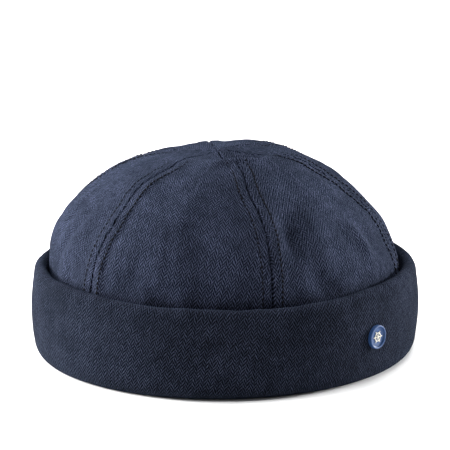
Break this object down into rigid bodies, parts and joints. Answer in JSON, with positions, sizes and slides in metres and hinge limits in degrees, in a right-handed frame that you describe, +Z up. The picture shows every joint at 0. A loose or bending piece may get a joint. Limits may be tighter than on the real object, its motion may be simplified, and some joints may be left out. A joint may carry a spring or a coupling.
{
  "type": "docker cap",
  "caption": "Brimless cloth docker cap for the head: a rounded crown of seamed panels in a wide turned-up cuff, with a small round badge riveted to one side.",
  "frame": {"origin": "centre of the ring of folded cloth that the cap stands on, at the level of the surface", "axes": "+Z up through the crown, -Y towards the front of the cap, +X towards the wearer's left, where the badge is"},
  "size_m": [0.2148, 0.2204, 0.113],
  "materials": {
    "herringbone_cloth": "matte navy herringbone twill with a slight nap",
    "badge_enamel": "semi-gloss navy blue enamel on a pressed metal disc",
    "badge_inlay": "satin cream enamel"
  },
  "bodies": {
    "root": {"crown_panel_front_left": "herringbone_cloth", "crown_panel_side_left": "herringbone_cloth", "crown_panel_back_left": "herringbone_cloth", "crown_panel_back_right": "herringbone_cloth", "crown_panel_side_right": "herringbone_cloth", "crown_panel_front_right": "herringbone_cloth", "cuff": "herringbone_cloth", "badge": "badge_enamel", "badge_wheel": "badge_inlay"}
  },
  "joints": []
}
